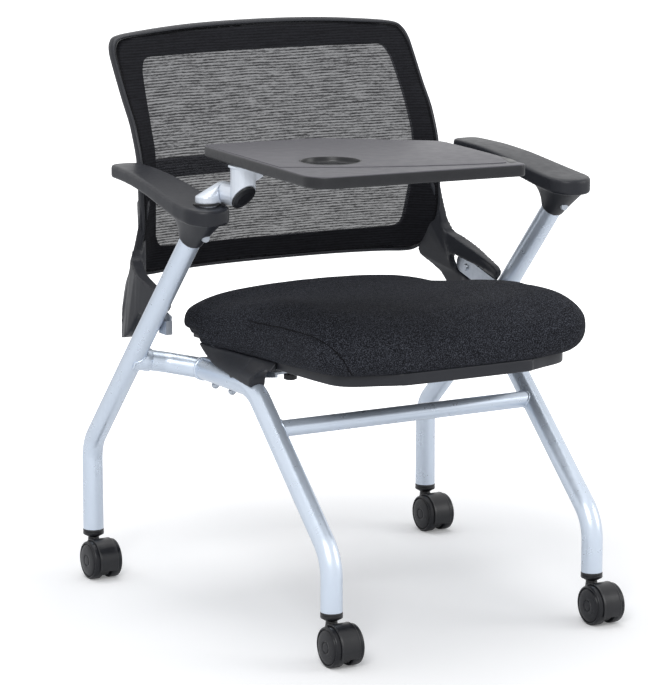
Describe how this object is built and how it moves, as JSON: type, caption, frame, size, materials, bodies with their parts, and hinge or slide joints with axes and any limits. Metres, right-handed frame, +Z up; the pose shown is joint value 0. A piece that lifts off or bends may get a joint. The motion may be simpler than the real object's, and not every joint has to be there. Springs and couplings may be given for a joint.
{
  "type": "nesting chair with writing tablet",
  "caption": "Nesting chair on casters with a mesh back, a flip-up padded seat, armrests and a swing-away writing tablet.",
  "frame": {"origin": "centre of the footprint's bounding box on the floor", "axes": "+Z up, -Y the way the sitter faces, +X the sitter's left"},
  "size_m": [0.6974, 0.7844, 0.859],
  "materials": {
    "tube_paint": "satin light blue-silver powder paint",
    "zinc_steel": "bright zinc-plated steel",
    "cast_metal": "silver painted die casting",
    "frame_plastic": "fine-grained charcoal moulding",
    "trim_plastic": "black moulding with a soft sheen",
    "tablet_laminate": "grey-black writing surface with a satin sheen",
    "seat_fabric": "black knitted fabric with fine specks",
    "mesh_fabric": "open black mesh with fine horizontal ribs",
    "plywood": "plain plywood, hidden",
    "soft_rubber": "matte black"
  },
  "bodies": {
    "frame": {"front_leg_left": "tube_paint", "front_leg_right": "tube_paint", "front_crossbar": "tube_paint", "rear_leg_left": "tube_paint", "rear_leg_right": "tube_paint", "side_stub_left": "tube_paint", "side_stub_right": "tube_paint", "hinge_bracket_left": "zinc_steel", "hinge_bracket_right": "zinc_steel", "bracket_bolt_front_left": "zinc_steel", "bracket_bolt_front_right": "zinc_steel", "bracket_bolt_rear_left": "zinc_steel", "bracket_bolt_rear_right": "zinc_steel", "back_plate_left": "zinc_steel", "back_plate_right": "zinc_steel", "back_plate_screw_front_left": "zinc_steel", "back_plate_screw_front_right": "zinc_steel", "back_plate_screw_rear_left": "zinc_steel", "back_plate_screw_rear_right": "zinc_steel", "armrest_left": "frame_plastic", "armrest_right": "frame_plastic", "arm_screw_left": "trim_plastic", "arm_screw_right": "trim_plastic", "back_frame": "frame_plastic", "back_mesh": "mesh_fabric", "lumbar_bar": "frame_plastic", "caster_plug_front_left": "trim_plastic", "caster_plug_front_right": "trim_plastic", "caster_plug_rear_left": "trim_plastic", "caster_plug_rear_right": "trim_plastic"},
    "seat": {"seat_cushion": "seat_fabric", "seat_pan": "frame_plastic", "seat_board": "plywood", "seat_hinge_arm_left": "zinc_steel", "seat_hinge_arm_right": "zinc_steel", "seat_bumper_left": "soft_rubber", "seat_bumper_right": "soft_rubber"},
    "tablet_base": {"elbow_base_cap": "trim_plastic", "lower_elbow": "cast_metal", "tilt_bolt": "zinc_steel"},
    "tablet": {"upper_elbow": "cast_metal", "elbow_cap": "trim_plastic", "tablet_plate": "trim_plastic", "tablet_surface": "tablet_laminate"},
    "caster_front_left": {"caster_stem_front_left": "zinc_steel", "caster_hood_front_left": "trim_plastic"},
    "wheel_front_left_a": {"wheel_front_left_a": "soft_rubber"},
    "wheel_front_left_b": {"wheel_front_left_b": "soft_rubber"},
    "caster_front_right": {"caster_stem_front_right": "zinc_steel", "caster_hood_front_right": "trim_plastic"},
    "wheel_front_right_a": {"wheel_front_right_a": "soft_rubber"},
    "wheel_front_right_b": {"wheel_front_right_b": "soft_rubber"},
    "caster_rear_left": {"caster_stem_rear_left": "zinc_steel", "caster_hood_rear_left": "trim_plastic"},
    "wheel_rear_left_a": {"wheel_rear_left_a": "soft_rubber"},
    "wheel_rear_left_b": {"wheel_rear_left_b": "soft_rubber"},
    "caster_rear_right": {"caster_stem_rear_right": "zinc_steel", "caster_hood_rear_right": "trim_plastic"},
    "wheel_rear_right_a": {"wheel_rear_right_a": "soft_rubber"},
    "wheel_rear_right_b": {"wheel_rear_right_b": "soft_rubber"}
  },
  "joints": [
    {"name": "seat_fold", "type": "hinge", "parent": "frame", "child": "seat", "pos_m": [0, 0.13055, 0.388], "axis": [-1, 0, 0], "range_deg": [0, 78]},
    {"name": "tablet_swivel", "type": "hinge", "parent": "frame", "child": "tablet_base", "pos_m": [-0.311, -0.04345, 0.645], "axis": [0, 0, -1], "range_deg": [0, 90]},
    {"name": "tablet_tilt", "type": "hinge", "parent": "tablet_base", "child": "tablet", "pos_m": [-0.2806, -0.04625, 0.656], "axis": [0.1, -0.995, 0], "range_deg": [0, 80]},
    {"name": "swivel_front_left", "type": "hinge", "parent": "frame", "child": "caster_front_left", "pos_m": [0.2245, -0.25445, 0.07], "axis": [0, 0, 1], "continuous": true},
    {"name": "spin_front_left_a", "type": "hinge", "parent": "caster_front_left", "child": "wheel_front_left_a", "pos_m": [0.2245, -0.28045, 0.03], "axis": [1, 0, 0], "continuous": true},
    {"name": "spin_front_left_b", "type": "hinge", "parent": "caster_front_left", "child": "wheel_front_left_b", "pos_m": [0.2245, -0.28045, 0.03], "axis": [1, 0, 0], "continuous": true},
    {"name": "swivel_front_right", "type": "hinge", "parent": "frame", "child": "caster_front_right", "pos_m": [-0.2245, -0.25445, 0.07], "axis": [0, 0, 1], "continuous": true},
    {"name": "spin_front_right_a", "type": "hinge", "parent": "caster_front_right", "child": "wheel_front_right_a", "pos_m": [-0.2245, -0.28045, 0.03], "axis": [1, 0, 0], "continuous": true},
    {"name": "spin_front_right_b", "type": "hinge", "parent": "caster_front_right", "child": "wheel_front_right_b", "pos_m": [-0.2245, -0.28045, 0.03], "axis": [1, 0, 0], "continuous": true},
    {"name": "swivel_rear_left", "type": "hinge", "parent": "frame", "child": "caster_rear_left", "pos_m": [0.3062, 0.35555, 0.07], "axis": [0, 0, 1], "continuous": true},
    {"name": "spin_rear_left_a", "type": "hinge", "parent": "caster_rear_left", "child": "wheel_rear_left_a", "pos_m": [0.3062, 0.32955, 0.03], "axis": [1, 0, 0], "continuous": true},
    {"name": "spin_rear_left_b", "type": "hinge", "parent": "caster_rear_left", "child": "wheel_rear_left_b", "pos_m": [0.3062, 0.32955, 0.03], "axis": [1, 0, 0], "continuous": true},
    {"name": "swivel_rear_right", "type": "hinge", "parent": "frame", "child": "caster_rear_right", "pos_m": [-0.3062, 0.35555, 0.07], "axis": [0, 0, 1], "continuous": true},
    {"name": "spin_rear_right_a", "type": "hinge", "parent": "caster_rear_right", "child": "wheel_rear_right_a", "pos_m": [-0.3062, 0.32955, 0.03], "axis": [1, 0, 0], "continuous": true},
    {"name": "spin_rear_right_b", "type": "hinge", "parent": "caster_rear_right", "child": "wheel_rear_right_b", "pos_m": [-0.3062, 0.32955, 0.03], "axis": [1, 0, 0], "continuous": true}
  ],
  "couplings": [
    {"joint": "tablet_tilt", "follows": "seat_fold", "ratio": 1.0256}
  ]
}
